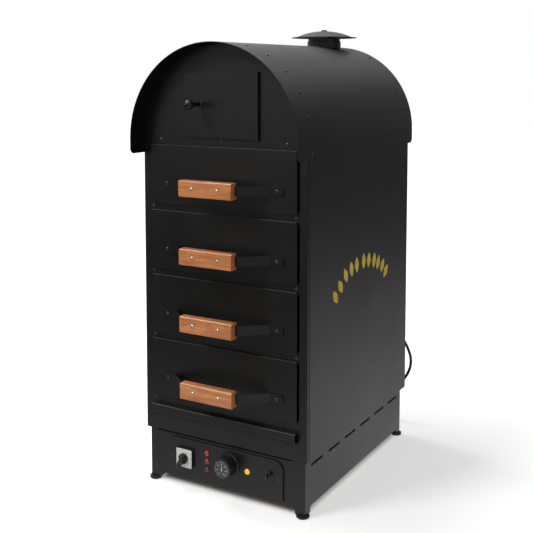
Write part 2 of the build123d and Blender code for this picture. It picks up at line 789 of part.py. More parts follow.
def control_panel():
    plate = standing(panel_outline(0), panel_face, plinth_front)
    plate = fillet(plate.edges().group_by(Axis.Y)[0], control_sheet / 2)
    plate -= standing(panel_outline(control_sheet), panel_face + control_sheet, plinth_front)
    plate -= through_panel(shaft_diameter + 2, switch_x, switch_z)
    plate -= through_panel(shaft_diameter + 2, dial_x, dial_z)
    plate -= through_panel(toggle_bush + 2 * control_play, toggle_x, toggle_z)
    plate -= [through_panel(lamp_diameter - 1 + 2 * control_play, x, z) for x, z in lamp_places]
    return plate - through_panel(amber_diameter - 1 + 2 * control_play, amber_x, control_middle)


def lamp(x, z, diameter):
    # A neon lamp: domed lens over a round body that reaches behind the panel.
    radius, body = diameter / 2, diameter / 2 - 0.5
    back = panel_face + control_sheet
    outline = Polyline((0, lamp_depth), (0, -lamp_body), (body, -lamp_body), (body, 0), (radius, 0),
                       (radius, lamp_depth * 0.3))
    dome = dome_arc(radius, lamp_depth * 0.3, lamp_depth)
    nut = rod(diameter + 3, (x, back, z), (x, back + 3, z))
    return facing_front(x, panel_face, z) * revolve(Plane.XZ * make_face(outline + dome), Axis.Z) + nut


def switch_plate():
    half = plate_size / 2
    plate = block(switch_x - half, switch_x + half, panel_face - plate_depth, panel_face, switch_z - half,
                  switch_z + half)
    plate = fillet(plate.edges().filter_by(Axis.Y), 2.5)
    plate = chamfer(plate.edges().group_by(Axis.Y)[0], 1.2)
    return plate - rod(shaft_diameter + 2, (switch_x, panel_face - plate_depth, switch_z),
                       (switch_x, panel_face, switch_z))


def shaft(x, front, z):
    # The turning shaft behind a knob, and the bore that takes it.
    back = panel_face + control_sheet + shaft_depth
    return rod(shaft_diameter, (x, front, z), (x, back, z))


def shaft_bore(x, z):
    back = panel_face + control_sheet + shaft_depth + 1
    return rod(shaft_diameter + 2 * shaft_play, (x, panel_face, z), (x, back, z))


def control_body(x, z, width, height, depth):
    # The works of a control, seated against the back of its panel.
    front = panel_face + control_sheet
    body = block(x - width / 2, x + width / 2, front, front + depth, z - height / 2, z + height / 2)
    return chamfer(body.edges().filter_by(Axis.Y), 2)


def rotary_switch():
    body = control_body(switch_x, switch_z, 42, 42, 34)
    posts = [block(x - 4, x + 4, panel_face + control_sheet + 34, panel_face + control_sheet + 40,
                   switch_z - 18, switch_z + 18) for x in (switch_x - 12, switch_x + 12)]
    return body + posts - shaft_bore(switch_x, switch_z)


def switch_knob():
    back = panel_face - plate_depth - control_play * 3
    radius = lever_diameter / 2
    base = rod(lever_diameter, (switch_x, back - 5, switch_z), (switch_x, back, switch_z))
    base = fillet(base.edges().group_by(Axis.Y)[0], 1.5)
    wing = Pos((lever_length - radius * 0.8) / 2, 0, 2 + lever_depth / 2) * Box(
        lever_length + radius * 0.8, lever_width, lever_depth + 4)
    wing = fillet(wing.edges().filter_by(Axis.Z), lever_width / 2 - 0.5)
    wing = fillet(wing.edges().group_by(Axis.Z)[-1], 2)
    knob = base + Pos(switch_x, back, switch_z) * Rot(90, 0, 0) * Rot(0, 0, lever_angle) * wing
    return knob + shaft(switch_x, back - 1, switch_z)


def thermostat():
    # Thermostat body with its capillary and the bulb that lies over the liner's floor.
    body = control_body(dial_x, dial_z, thermostat_width, thermostat_height, thermostat_depth)
    rise = liner_bottom + 10
    line = rod(capillary_diameter, (capillary_x, capillary_y, dial_z),
               (capillary_x, capillary_y, rise))
    bulb = rod(bulb_diameter, (capillary_x, capillary_y - 3, rise),
               (capillary_x, capillary_y + bulb_length, rise))
    return body + line + bulb - shaft_bore(dial_x, dial_z)


def thermostat_knob():
    back = panel_face - 3 * control_play
    front = back - knob_depth
    radius = knob_skirt / 2
    skirt = turned((0, 0), (radius, 0), (radius, 3), (radius - 2, 6), (radius - 3, knob_depth),
                   (0, knob_depth))
    flute = Pos(radius + flute_diameter * 0.12, 0, 7) * Cylinder(
        flute_diameter / 2, knob_depth, align=(Align.CENTER, Align.CENTER, Align.MIN))
    skirt -= [Rot(0, 0, 360 / knob_flutes * i) * flute for i in range(knob_flutes)]
    skirt -= Pos(0, 0, knob_depth) * Cylinder(dial_diameter / 2 - 1, 2)
    return facing_front(dial_x, back, dial_z) * skirt + shaft(dial_x, back - 1, dial_z), front


def thermostat_dial(front):
    place = facing_front(dial_x, front + 1, dial_z)
    disc = turned((0, 0), (dial_diameter / 2 - 1.1, 0), (dial_diameter / 2 - 1.1, 1), (dial_diameter / 2, 1),
                  (dial_diameter / 2 - 0.6, 1 + dial_depth), (0, 1 + dial_depth))
    return place * disc


def toggle_switch():
    back = panel_face + control_sheet
    body = control_body(toggle_x, toggle_z, toggle_body_width, toggle_body_height, toggle_body_depth)
    bush = rod(toggle_bush, (toggle_x, panel_face - toggle_reach, toggle_z), (toggle_x, back, toggle_z))
    nut = Pos(toggle_x, panel_face, toggle_z) * Rot(90, 0, 0) * extrude(
        RegularPolygon(toggle_nut / 2, 6), 2.2)
    ball = Pos(toggle_x, toggle_y, toggle_z) * Sphere(toggle_ball / 2 + control_play)
    mouth = rod(toggle_ball + 2 * control_play, (toggle_x, panel_face - toggle_reach - 1, toggle_z),
                (toggle_x, toggle_y, toggle_z))
    return body + bush + nut - ball - mouth


def toggle_lever():
    # Modelled straight out, then tipped down to where it rests.
    stem = turned((0, 0), (2, 0), (2, 4), (3.6, toggle_length - 3), (3.6, toggle_length - 2),
                  (2.4, toggle_length), (0, toggle_length))
    lever = stem + Sphere(toggle_ball / 2)
    return Pos(toggle_x, toggle_y, toggle_z) * Rot(90 + toggle_tilt, 0, 0) * lever


def terminal_block():
    # Hangs from the base pan, over the open middle of the plinth.
    x, y, top = terminal_x, cable_y - 20, body_bottom
    block_body = block(x - 30, x + 30, y - 9, y + 9, top - 16, top)
    wells = [rod(5, (x + 10 * i, y - 10, top - 9), (x + 10 * i, y + 10, top - 9)) for i in (-2, -1, 0, 1, 2)]
    return block_body - wells


def cable_gland():
    face = body_depth
    profile = [(0, -gland_nut - panel_sheet), (8, -gland_nut - panel_sheet), (8, -panel_sheet),
               (gland_hole / 2 - screw_fit, -panel_sheet), (gland_hole / 2 - screw_fit, 0), (10, 0), (10, 5),
               (8.5, 5), (8.5, 12), (6, 15), (5.2, gland_reach), (0, gland_reach)]
    return facing_back(gland_x, face, gland_height) * turned(*profile)


# The cord leaves the gland, bends down behind the oven and runs out along the floor to its coil.
cord_route = [(gland_x + across, body_depth + back, height) for across, back, height in (
    (0, gland_reach, gland_height), (0, 50, gland_height), (4, 67, 243), (11, 77, 222), (23, 80, 188),
    (17, 80, 148), (-14, 78, 104), (-40, 79, 62), (-62, 86, 31), (-86, 96, 11), (-110, 103, 4.4),
    (-142, 104, 4))]
coil_x, coil_y = gland_x - coil_side, body_depth + coil_back
plug_x, plug_y = coil_x - plug_side, coil_y + plug_back


def cord_path():
    corners = cord_route[1:-1]
    radii = []
    for before, corner, after in zip(cord_route, corners, cord_route[2:]):
        incoming = Vector(*corner) - Vector(*before)
        outgoing = Vector(*after) - Vector(*corner)
        half_turn = math.radians(incoming.get_angle(outgoing) / 2)
        radii.append(0.45 * min(incoming.length, outgoing.length) / math.tan(half_turn))
    print("cord radii", [round(radius) for radius in radii])
    return FilletPolyline(*cord_route, radius=radii)


def mains_cord():
    path = cord_path()
    tube = sweep(Plane(origin=path @ 0, z_dir=path % 0) * Circle(cord_diameter / 2), path)
    expected = math.pi * (cord_diameter / 2) ** 2 * path.length
    print("cord length", round(path.length), "volume against section times length", tube.volume / expected)
    return tube


def cord_coil():
    section = Pos(coil_turn / 2, coil_height / 2) * Ellipse(coil_thickness / 2, coil_height / 2)
    return Pos(coil_x, coil_y, 0) * revolve(Plane.XZ * section, Axis.Z)


def mains_plug():
    # A generic three-pin plug lying on its back, pins up.
    y = plug_y
    body = block(plug_x - 24, plug_x + 22, y - 24, y + 24, 0, 18)
    body = fillet(body.edges().filter_by(Axis.Z), 9)
    body = fillet(body.edges().group_by(Axis.Z)[0], 3)
    relief = rod(11, (plug_x + 20, y, 9), (coil_x - 20, y, 9))
    earth = block(plug_x - 19, plug_x - 11, y - 2, y + 2, 16, 40)
    power = [block(plug_x + 3, plug_x + 7, y + way * 11 - 3.1, y + way * 11 + 3.1, 16, 35) for way in (-1, 1)]
    return body + relief + earth + power


# Casing
write("side_panel_right", drilled(side_panel()))
write("side_panel_left", drilled(mirror(side_panel(), Plane.YZ)))
write("rear_panel", drilled(rear_panel()))
write("face_frame", drilled(face_frame()))
write("lower_fascia", lower_fascia())
write("crumb_ledge", crumb_ledge())
write("top_deck", top_deck())
write("front_gable", drilled(front_gable()))
write("rear_gable", drilled(gable(body_depth, -1)))
write("canopy", drilled(canopy()))
write("flue_pipe", flue_pipe())
write("flue_cap", flue_cap())
write("plinth", drilled(plinth()))
write("base_pan", base_pan())
write("feet", *feet())
write("casing_screws", *[screw(place) for place in casing_screws])
write("hinge_lugs", *hinge_lugs())
write("door_catch", door_catch())

# Oven
write("oven_liner", oven_liner())
write("insulation", drilled(insulation()))
write("drawer_runners", *[runner(side, top) for top in rim_tops for side in (-1, 1)])
write("heating_elements", *[piece(z) for z in element_heights for piece in (heating_element, element_rest)])

# Drawers, from the top
for number, bottom in enumerate(drawer_bottoms, 1):
    write(f"drawer_{number}_front", drawer_front(bottom))
    write(f"drawer_{number}_tray", tray(bottom))
    write(f"drawer_{number}_handle_bar", handle_bar(bottom))
    write(f"drawer_{number}_grip", grip(bottom))
    write(f"drawer_{number}_screws", *drawer_screws(bottom))

# Compartment door
write("door_panel", door_panel())
write("door_knob", door_knob())

# Controls
knob, knob_front = thermostat_knob()
write("control_panel", drilled(control_panel()))
write("switch_plate", switch_plate())
write("rotary_switch", rotary_switch())
write("switch_knob", switch_knob())
write("red_lamps", *[lamp(x, z, lamp_diameter) for x, z in lamp_places])
write("amber_lamp", lamp(amber_x, control_middle, amber_diameter))
write("thermostat", thermostat())
write("thermostat_knob", knob)
write("thermostat_dial", thermostat_dial(knob_front))
write("toggle_switch", toggle_switch())
write("toggle_lever", toggle_lever())
write("terminal_block", terminal_block())

# Mains lead
write("cable_gland", cable_gland())
write("mains_cord", mains_cord())
write("cord_coil", cord_coil())
write("mains_plug", mains_plug())
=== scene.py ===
import bpy
import bmesh
import math
import random
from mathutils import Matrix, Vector


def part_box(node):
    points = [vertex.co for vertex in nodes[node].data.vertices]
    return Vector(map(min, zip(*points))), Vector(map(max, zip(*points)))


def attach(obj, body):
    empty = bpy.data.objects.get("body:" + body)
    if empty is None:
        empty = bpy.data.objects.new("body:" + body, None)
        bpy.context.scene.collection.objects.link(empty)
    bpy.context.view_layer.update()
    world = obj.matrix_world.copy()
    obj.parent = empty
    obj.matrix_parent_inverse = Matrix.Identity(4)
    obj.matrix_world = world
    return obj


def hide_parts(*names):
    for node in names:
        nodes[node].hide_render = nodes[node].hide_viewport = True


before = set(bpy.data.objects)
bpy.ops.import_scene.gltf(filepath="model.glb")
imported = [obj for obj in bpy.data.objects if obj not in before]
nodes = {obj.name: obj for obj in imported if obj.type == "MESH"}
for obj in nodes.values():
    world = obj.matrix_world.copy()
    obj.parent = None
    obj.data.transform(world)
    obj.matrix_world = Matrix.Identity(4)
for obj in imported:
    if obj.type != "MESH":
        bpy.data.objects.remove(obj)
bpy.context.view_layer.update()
dice = random.Random(7)
print("frame loaded:", len(nodes), "nodes")

mm = 0.001
midDepth = 259.5 * mm  # the casing's front corner line lies this far in front of the origin
rightward, forward, upward = Vector((1, 0, 0)), Vector((0, -1, 0)), Vector((0, 0, 1))
drawers = range(1, 5)


def at(x, y, z):  # a place counted in millimetres from the front corner line of the casing
    return Vector((x * mm, y * mm - midDepth, z * mm))


def newObject(name, data):
    made = bpy.data.objects.new(name, data)
    bpy.context.scene.collection.objects.link(made)
    return made


# camera
shot = {
    "place": (1145.25, -1775.35, 1014.36), "yaw": 30.151, "tilt": 4.8,
    "lens": 61.88, "sensor": 36, "shift": -0.22372, "farthest": 60,
    "rise": 348,  # makes up for the shift when the camera goes round the oven
}
camera = newObject("shotCamera", bpy.data.cameras.new("shotCamera"))
camera.delta_location = (0, 0, shot["rise"] * mm)
camera.location = at(*shot["place"]) - Vector(camera.delta_location)
camera.rotation_euler = (math.radians(90 - shot["tilt"]), 0, math.radians(shot["yaw"]))
camera.data.lens = shot["lens"]
camera.data.sensor_width = shot["sensor"]
camera.data.shift_y = shot["shift"]
camera.data.clip_end = shot["farthest"]
bpy.context.scene.camera = camera
bpy.context.scene.view_settings.view_transform = "Standard"

# lamps
lamps = {
    "keyLamp": {"place": (-1700, -2700, 3500), "power": 80, "size": 1.3},
    "topLamp": {"place": (-900, 300, 2700), "power": 62, "size": 1.4},
}
lampTarget = (0, 200, 500)
for name, look in lamps.items():
    lamp = bpy.data.lights.new(name, "AREA")
    lamp.energy = look["power"]
    lamp.size = look["size"]
    holder = newObject(name, lamp)
    holder.location = at(*look["place"])
    aim = at(*lampTarget) - at(*look["place"])
    holder.rotation_euler = aim.to_track_quat("-Z", "Y").to_euler()


# shader maths
class Wire:  # one socket of a node tree, so that sums on it read as plain maths
    def __init__(self, tree, socket):
        self.tree = tree
        self.socket = socket

    def node(self, kind, settings=None, values=None, out=0):
        return addNode(self.tree, kind, settings, values, out)

    def maths(self, operation, *others):
        values = dict(enumerate((self, *others)))
        return self.node("ShaderNodeMath", {"operation": operation}, values)

    def __add__(self, other):
        return self.maths("ADD", other)

    def __sub__(self, other):
        return self.maths("SUBTRACT", other)

    def __rsub__(self, other):
        values = {0: other, 1: self}
        return self.node("ShaderNodeMath", {"operation": "SUBTRACT"}, values)

    def __mul__(self, other):
        return self.maths("MULTIPLY", other)

    def __pow__(self, other):
        return self.maths("POWER", other)

    def __abs__(self):
        return self.maths("ABSOLUTE")

    def fit(self, low, high, toLow=0.0, toHigh=1.0):  # one range onto another, held at its ends
        values = {0: self, 1: low, 2: high, 3: toLow, 4: toHigh}
        return self.node("ShaderNodeMapRange", {"clamp": True}, values)

    def split(self):  # the x, y and z of a vector
        return [self.node("ShaderNodeSeparateXYZ", None, {0: self}, axis) for axis in range(3)]


def addNode(tree, kind, settings=None, values=None, out=0):
    made = tree.nodes.new(kind)
    for key, value in (settings or {}).items():
        setattr(made, key, value)
    for key, value in (values or {}).items():
        if isinstance(value, Wire):
            tree.links.new(value.socket, made.inputs[key])
        else:
            made.inputs[key].default_value = value
    return Wire(tree, made.outputs[out])


def asColour(value):
    return value if isinstance(value, Wire) else (*value, 1)


def greyOf(tree, level):  # a wire of brightness as a neutral colour
    return addNode(tree, "ShaderNodeCombineColor", None, {0: level, 1: level, 2: level})


def scaled(colour, share, lift=0.0):
    return tuple(min(1, part * share + lift) for part in colour)


class Finish:  # one material, built around a Principled shader
    def __init__(self, name, colour, roughness, **constants):
        self.material = bpy.data.materials.new(name)
        self.material.use_nodes = True
        self.tree = self.material.node_tree
        self.shader = self.tree.nodes["Principled BSDF"]
        self.shader.inputs["Base Color"].default_value = (*colour, 1)
        self.shader.inputs["Roughness"].default_value = roughness
        for key, value in constants.items():
            self.shader.inputs[key.replace("_", " ")].default_value = value
        self.place = self.node("ShaderNodeTexCoord", out="Object")

    def node(self, kind, settings=None, values=None, out=0):
        return addNode(self.tree, kind, settings, values, out)

    def moved(self, by):  # object coordinates, shifted
        return self.node("ShaderNodeVectorMath", {"operation": "ADD"}, {0: self.place, 1: by})

    def stretched(self, by, base=None):  # coordinates with their own scale on each axis
        values = {0: base or self.place, 1: by}
        return self.node("ShaderNodeVectorMath", {"operation": "MULTIPLY"}, values)

    def noise(self, scale=1.0, detail=3.0, roughness=0.5, vector=None, warp=0.0):
        values = {"Vector": vector or self.place, "Scale": scale, "Detail": detail,
                  "Roughness": roughness, "Distortion": warp}
        return self.node("ShaderNodeTexNoise", None, values)

    def blend(self, factor, first, second):
        values = {0: factor, 6: asColour(first), 7: asColour(second)}
        return self.node("ShaderNodeMix", {"data_type": "RGBA"}, values, 2)

    def drive(self, socket, wire):
        self.tree.links.new(wire.socket, self.shader.inputs[socket])

    def bump(self, height, strength, distance):
        values = {"Strength": strength, "Distance": distance, "Height": height}
        self.drive("Normal", self.node("ShaderNodeBump", None, values))


# finishes
coatLook = {
    "black": (0.0044, 0.0043, 0.0041), "dusty": (0.0088, 0.0086, 0.0082),
    "roughness": 0.37, "roughCloud": 0.07, "roughGrain": 0.05, "roughBase": -0.04,
    "cloud": 5.5, "cloudBand": (0.35, 0.68), "cloudShare": 0.55,
    "streak": (60, 60, 4), "streakBand": (0.4, 0.75), "streakShare": 0.25,
    "speck": 900, "speckBand": (0.58, 0.74), "speckShare": 0.35,
    "grain": 1500, "grainRise": 0.6, "peel": 260, "peelRise": 0.5, "bump": 0.22, "depth": 0.00012,
}


def powderCoat(name, look):  # satin black powder coat: fine grain over a faint orange peel
    finish = Finish(name, look["black"], look["roughness"])
    grain = finish.noise(look["grain"], detail=2.0)
    peel = finish.noise(look["peel"])
    cloud = finish.noise(look["cloud"], detail=4.0, roughness=0.6).fit(*look["cloudBand"])
    streak = finish.noise(roughness=0.55, vector=finish.stretched(look["streak"]))
    streak = streak.fit(*look["streakBand"])
    speck = finish.noise(look["speck"], detail=1.0).fit(*look["speckBand"])
    dust = cloud * look["cloudShare"] + streak * look["streakShare"]
    tone = finish.blend(dust, look["black"], look["dusty"])
    finish.drive("Base Color", finish.blend(speck * look["speckShare"], tone, look["dusty"]))
    rough = grain * look["roughGrain"] + (look["roughness"] + look["roughBase"])
    finish.drive("Roughness", cloud * look["roughCloud"] + rough)
    height = grain * look["grainRise"] + peel * look["peelRise"]
    finish.bump(height, look["bump"], look["depth"])
    return finish.material


steelLook = {
    "grain": (900, 30, 900), "grainBand": (0.3, 0.7), "smoother": 0.08, "rougher": 0.1,
    "stain": 7, "stainWarp": 0.6, "stainBand": (0.45, 0.75), "stainShare": 0.5, "stainRough": 0.1,
    "bump": 0.15, "depth": 0.0001,
}


def sheetSteel(name, tone, roughness, tint):  # rolled steel, stained by heat or handling
    look = steelLook
    finish = Finish(name, tone, roughness, Metallic=1.0)
    grain = finish.noise(detail=4.0, roughness=0.6, vector=finish.stretched(look["grain"]))
    stain = finish.noise(look["stain"], detail=5.0, roughness=0.62, warp=look["stainWarp"])
    stain = stain.fit(*look["stainBand"])
    finish.drive("Base Color", finish.blend(stain * look["stainShare"], tone, tint))
    lowest, highest = roughness - look["smoother"], roughness + look["rougher"]
    rough = grain.fit(*look["grainBand"], lowest, highest)
    finish.drive("Roughness", rough + stain * look["stainRough"])
    finish.bump(grain, look["bump"], look["depth"])
    return finish.material


woodLook = {
    "light": (0.88, 0.36, 0.12), "mid": (0.50, 0.165, 0.052), "dark": (0.15, 0.04, 0.014),
    "roughness": 0.36, "varnish": 0.35, "varnishRough": 0.22, "dull": (0.34, 0.55),
    "apart": (1.7, 0.9, 0),  # how far one grip's wood lies from the next in the pattern
    "figure": (7, 120, 120), "figureWarp": 0.7, "figureBand": (0.34, 0.66),
    "rings": 7.0, "ringBand": (0.0, 0.85), "ringShare": 0.4,
    "cloud": 16, "cloudBand": (0.35, 0.7), "cloudShare": 0.26,
    "fibre": (45, 900, 900), "poreBand": (0.62, 0.74), "poreShare": 0.7,
    "fibreRise": 0.5, "figureRise": 0.3, "bump": 0.25, "depth": 0.0002,
}


def varnishedWood(name, seed):  # straight-grained hardwood under a thin varnish, grain along x
    look = woodLook
    finish = Finish(name, look["mid"], look["roughness"], Coat_Weight=look["varnish"],
                    Coat_Roughness=look["varnishRough"])
    place = finish.moved(tuple(seed * part for part in look["apart"]))
    along = finish.stretched(look["figure"], place)
    figure = finish.noise(detail=5.0, roughness=0.62, vector=along, warp=look["figureWarp"])
    fibre = finish.noise(roughness=0.7, vector=finish.stretched(look["fibre"], place))
    rings = (figure * look["rings"]).maths("FRACT").fit(*look["ringBand"])
    pores = fibre.fit(*look["poreBand"])
    cloud = finish.noise(look["cloud"], vector=place).fit(*look["cloudBand"])
    tone = finish.blend(figure.fit(*look["figureBand"]), look["mid"], look["light"])
    tone = finish.blend(rings * look["ringShare"], tone, look["mid"])
    tone = finish.blend(cloud * look["cloudShare"], tone, look["dark"])
    finish.drive("Base Color", finish.blend(pores * look["poreShare"], tone, look["dark"]))
    finish.drive("Roughness", pores.fit(0, 1, *look["dull"]))
    height = fibre * look["fibreRise"] + figure * look["figureRise"]
    finish.bump(height, look["bump"], look["depth"])
    return finish.material


plasticLook = {
    "grain": 2600, "cloud": 30, "cloudBand": (0.35, 0.7), "cloudShare": 0.5,
    "lighter": 1.5, "lift": 0.004, "roughGrain": 0.08, "roughCloud": 0.06, "roughBase": -0.05,
    "depth": 0.00006,
}


def mouldedPlastic(name, colour, roughness, texture):
    look = plasticLook
    finish = Finish(name, colour, roughness)
    grain = finish.noise(look["grain"], detail=2.0)
    cloud = finish.noise(look["cloud"]).fit(*look["cloudBand"])
    lighter = scaled(colour, look["lighter"], look["lift"])
    finish.drive("Base Color", finish.blend(cloud * look["cloudShare"], colour, lighter))
    rough = cloud * look["roughCloud"] + (roughness + look["roughBase"])
    finish.drive("Roughness", grain * look["roughGrain"] + rough)
    finish.bump(grain, texture, look["depth"])
    return finish.material


lensLook = {
    "roughness": 0.22, "gloss": 0.5, "glossRough": 0.1,
    "ripple": 900, "rippleBand": (0.3, 0.7), "rippleShare": 0.4, "dimGlow": 0.7, "dimBody": 0.6,
    "fadedShare": 0.75, "faded": 0.1, "bump": 0.2, "depth": 0.0003,
}


def lens(name, colour, glow, strength, fade=None):  # neon lens, dimmer towards the low end of fade
    look = lensLook
    finish = Finish(name, colour, look["roughness"], Coat_Weight=look["gloss"],
                    Coat_Roughness=look["glossRough"], Emission_Strength=strength)
    ripple = finish.noise(look["ripple"], detail=1.0)
    lit = finish.blend(ripple.fit(*look["rippleBand"]), glow, scaled(glow, look["dimGlow"]))
    dim = scaled(colour, look["dimBody"])
    body = finish.blend(ripple * look["rippleShare"], colour, dim)
    if fade:
        low = 1.0 - finish.place.split()[2].fit(*fade)
        lit = finish.blend(low, lit, (0, 0, 0))
        body = finish.blend(low * look["fadedShare"], body, scaled(colour, look["faded"]))
    finish.drive("Emission Color", lit)
    finish.drive("Base Color", body)
    finish.bump(ripple, look["bump"], look["depth"])
    return finish.material


brushedLook = {
    # sides: the dark colour painted on the plate's sides as painted shade
    "face": (0.86, 0.86, 0.85), "worn": 0.72, "wornShare": 0.5, "sides": (0.02, 0.02, 0.02),
    "skin": 1.3, "blur": 0.2, "brush": (700, 700, 40),
    "roughness": 0.36, "roughGrain": 0.15, "roughBase": -0.05, "bump": 0.1, "depth": 0.00005,
}


def brushedPlateShadedSides(name, front):  # bright on the face at y = front; the sides behind its skin are painted dark, a painted shade for the plate's shadowed sides
    look = brushedLook
    finish = Finish(name, look["face"], look["roughness"])
    edge = front + look["skin"] * mm
    behind = finish.place.split()[1].fit(edge, edge + look["blur"] * mm)
    grain = finish.noise(roughness=0.6, vector=finish.stretched(look["brush"]))
    worn = scaled(look["face"], look["worn"])
    face = finish.blend(grain * look["wornShare"], look["face"], worn)
    # painted shade: everything behind the skin takes the dark sides colour
    finish.drive("Base Color", finish.blend(behind, face, look["sides"]))
    rough = look["roughness"] + look["roughBase"]
    finish.drive("Roughness", grain * look["roughGrain"] + rough)
    finish.bump(grain, look["bump"], look["depth"])
    return finish.material


plugLook = {
    "body": (0.011, 0.011, 0.0115), "brass": (0.72, 0.52, 0.22), "tarnish": (0.45, 0.30, 0.12),
    "pinFoot": 18.5, "blur": 0.2, "grain": 2200, "worn": 240, "wornBand": (0.4, 0.7),
    "wornShare": 0.5, "roughness": 0.42, "roughGrain": 0.1, "pinSmoother": 0.15,
    "bump": 0.2, "depth": 0.00006,
}


def plugBody(name):  # moulded plug with bare brass pins above its body
    look = plugLook
    finish = Finish(name, look["body"], look["roughness"])
    foot = look["pinFoot"] * mm
    pin = finish.place.split()[2].fit(foot, foot + look["blur"] * mm)
    grain = finish.noise(look["grain"], detail=2.0)
    worn = finish.noise(look["worn"]).fit(*look["wornBand"])
    brass = finish.blend(worn * look["wornShare"], look["brass"], look["tarnish"])
    finish.drive("Base Color", finish.blend(pin, look["body"], brass))
    finish.drive("Metallic", pin)
    rough = look["roughness"] - pin * look["pinSmoother"]
    finish.drive("Roughness", grain * look["roughGrain"] + rough)
    finish.bump(grain, look["bump"], look["depth"])
    return finish.material


woolLook = {
    "mean": (0.55, 0.5, 0.36), "dark": (0.33, 0.29, 0.18), "light": (0.66, 0.61, 0.47),
    "roughness": 0.95, "fibre": 420, "warp": 1.5, "band": (0.35, 0.65), "bump": 0.9, "depth": 0.002,
}


def mineralWool(name):
    look = woolLook
    finish = Finish(name, look["mean"], look["roughness"])
    fibre = finish.noise(look["fibre"], detail=5.0, roughness=0.7, warp=look["warp"])
    tone = finish.blend(fibre.fit(*look["band"]), look["dark"], look["light"])
    finish.drive("Base Color", tone)
    finish.bump(fibre, look["bump"], look["depth"])
    return finish.material


plastics = {  # colour, roughness and texture
    "blackPlastic": ((0.012, 0.012, 0.0125), 0.34, 0.12),
    "greyDialPlastic": ((0.045, 0.046, 0.048), 0.38, 0.12),
    "glossBlackKnob": ((0.008, 0.008, 0.0085), 0.14, 0.04),
    "paintedShadeBlack": ((0.004, 0.004, 0.004), 0.95, 0.4),
    # painted shade: the black colour of the sheet behind the plinth slots
    "whiteMarking": ((0.62, 0.62, 0.60), 0.5, 0.03),
    "blackMarking": ((0.012, 0.012, 0.012), 0.5, 0.03),
    "blackRubber": ((0.010, 0.010, 0.0105), 0.62, 0.3),
    "blackenedScrew": ((0.034, 0.034, 0.034), 0.22, 0.05),
    "yellowEnamel": ((0.83, 0.56, 0.045), 0.42, 0.06),
    "cordSheath": ((0.013, 0.013, 0.0135), 0.5, 0.25),
}
steels = {  # colour, roughness and tint of the stains
    "heatTonedSteel": ((0.34, 0.33, 0.31), 0.42, (0.16, 0.10, 0.05)),
    "elementSheath": ((0.10, 0.095, 0.09), 0.5, (0.16, 0.10, 0.05)),
    "brightScrewSteel": ((0.62, 0.62, 0.60), 0.28, (0.4, 0.38, 0.34)),
}
lenses = {  # colour, glow, strength and the heights between which a lens fades
    "redLens": ((0.36, 0.012, 0.012), (1.0, 0.02, 0.02), 0.22, (0.052, 0.102)),
    "amberLens": ((0.85, 0.32, 0.02), (1.0, 0.42, 0.03), 1.0),
}
paint = {name: mouldedPlastic(name, *look) for name, look in plastics.items()}
paint.update((name, sheetSteel(name, *look)) for name, look in steels.items())
paint.update((name, lens(name, *look)) for name, look in lenses.items())
paint["satinBlackCoat"] = powderCoat("satinBlackCoat", coatLook)
paint["mineralWool"] = mineralWool("mineralWool")
paint["mouldedPlug"] = plugBody("mouldedPlug")
plateLow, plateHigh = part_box("switch_plate")
paint["silverSwitchPlate"] = brushedPlateShadedSides("silverSwitchPlate", plateLow.y)
for i in drawers:
    paint[f"varnishedWood{i}"] = varnishedWood(f"varnishedWood{i}", i)

wearers = {
    "heatTonedSteel": ["oven_liner", "drawer_runners", "base_pan"],
    "elementSheath": ["heating_elements", "thermostat"],
    "mineralWool": ["insulation"],
    "blackRubber": ["feet"],
    "blackenedScrew": ["casing_screws"],
    "silverSwitchPlate": ["switch_plate"],
    "blackPlastic": ["rotary_switch", "switch_knob", "toggle_switch", "toggle_lever",
                     "terminal_block", "cable_gland", "thermostat_knob"],
    "greyDialPlastic": ["thermostat_dial"],
    "glossBlackKnob": ["door_knob"],
    "mouldedPlug": ["mains_plug"],
    "redLens": ["red_lamps"],
    "amberLens": ["amber_lamp"],
    "brightScrewSteel": [f"drawer_{i}_screws" for i in drawers],
}
wearers["heatTonedSteel"] += [f"drawer_{i}_tray" for i in drawers]
wearers.update({f"varnishedWood{i}": [f"drawer_{i}_grip"] for i in drawers})
finishOf = {node: paint[name] for name, worn in wearers.items() for node in worn}
for node, solid in nodes.items():
    solid.data.materials.clear()
    solid.data.materials.append(finishOf.get(node, paint["satinBlackCoat"]))
print("finishes on")


# helpers for new pieces
def addMesh(name, points, faces, materials, body="cabinet"):
    mesh = bpy.data.meshes.new(name)
    mesh.from_pydata([tuple(point) for point in points], [], faces)
    for material in materials:
        mesh.materials.append(material)
    work = bmesh.new()  # turns all faces outwards
    work.from_mesh(mesh)
    bmesh.ops.recalc_face_normals(work, faces=work.faces)
    work.to_mesh(mesh)
    work.free()
    piece = newObject(name, mesh)
    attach(piece, body)
    return piece


# screw heads with a cross recess, set where the CAD screws are
screwLook = {
    "grid": (0.0, 0.10, 0.14, 0.34, 0.44, 0.49, 0.72, 1.0),  # marks from the middle to the rim
    "armHalf": 0.12, "armReach": 0.46, "recess": 0.62, "slope": 0.5, "rim": 0.30,
    "weld": 1e-7, "gripReach": 100.0,  # screws further out hold the handle's tabs
}


def looseParts(mesh):  # the vertices of each separate head
    left = set(mesh.verts)
    while left:
        group, queue = set(), [left.pop()]
        while queue:
            vertex = queue.pop()
            group.add(vertex)
            near = {edge.other_vert(vertex) for edge in vertex.link_edges} & left
            left -= near
            queue += near
        yield group


